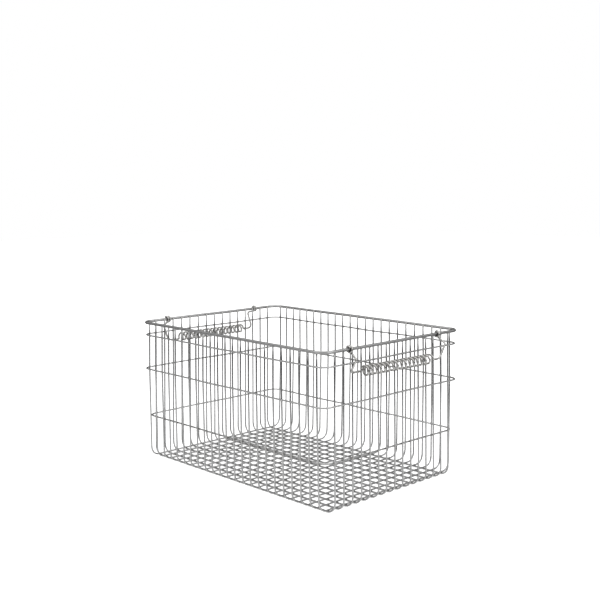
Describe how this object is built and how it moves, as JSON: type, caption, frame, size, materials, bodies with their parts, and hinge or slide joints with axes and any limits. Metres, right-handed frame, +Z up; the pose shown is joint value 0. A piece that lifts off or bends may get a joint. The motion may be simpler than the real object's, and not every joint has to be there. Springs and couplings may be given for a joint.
{
  "type": "wire basket",
  "caption": "Rectangular welded-wire basket with open mesh walls and floor, and a swinging coil-grip handle hung on the rim at each end.",
  "frame": {"origin": "on the surface that the basket stands on, under the middle of its floor", "axes": "+X along the long side, towards the right handle; +Y along the short side, towards the back; +Z up"},
  "size_m": [0.4436, 0.2986, 0.2238],
  "materials": {
    "rim_wire": "drawn and electropolished stainless wire",
    "hoop_wire": "drawn and electropolished stainless wire",
    "mesh_wire": "drawn and electropolished stainless wire",
    "handle_wire": "bright drawn stainless spring wire"
  },
  "bodies": {
    "basket": {"rim_wire": "rim_wire", "upper_hoop": "hoop_wire", "middle_hoop": "hoop_wire", "lower_hoop": "hoop_wire", "cross_wire_01": "mesh_wire", "cross_wire_02": "mesh_wire", "cross_wire_03": "mesh_wire", "cross_wire_04": "mesh_wire", "cross_wire_05": "mesh_wire", "cross_wire_06": "mesh_wire", "cross_wire_07": "mesh_wire", "cross_wire_08": "mesh_wire", "cross_wire_09": "mesh_wire", "cross_wire_10": "mesh_wire", "cross_wire_11": "mesh_wire", "cross_wire_12": "mesh_wire", "cross_wire_13": "mesh_wire", "cross_wire_14": "mesh_wire", "cross_wire_15": "mesh_wire", "cross_wire_16": "mesh_wire", "cross_wire_17": "mesh_wire", "cross_wire_18": "mesh_wire", "cross_wire_19": "mesh_wire", "cross_wire_20": "mesh_wire", "cross_wire_21": "mesh_wire", "cross_wire_22": "mesh_wire", "cross_wire_23": "mesh_wire", "long_wire_01": "mesh_wire", "long_wire_02": "mesh_wire", "long_wire_03": "mesh_wire", "long_wire_04": "mesh_wire", "long_wire_05": "mesh_wire", "long_wire_06": "mesh_wire", "long_wire_07": "mesh_wire", "long_wire_08": "mesh_wire", "long_wire_09": "mesh_wire", "long_wire_10": "mesh_wire", "long_wire_11": "mesh_wire", "long_wire_12": "mesh_wire", "long_wire_13": "mesh_wire", "long_wire_14": "mesh_wire", "long_wire_15": "mesh_wire"},
    "left_handle": {"left_handle": "handle_wire"},
    "right_handle": {"right_handle": "handle_wire"}
  },
  "joints": [
    {"name": "left_handle_swing", "type": "hinge", "parent": "basket", "child": "left_handle", "pos_m": [-0.2075, 0, 0.2185], "axis": [0, 1, 0], "range_deg": [0, 290]},
    {"name": "right_handle_swing", "type": "hinge", "parent": "basket", "child": "right_handle", "pos_m": [0.2075, 0, 0.2185], "axis": [0, -1, 0], "range_deg": [0, 290]}
  ]
}
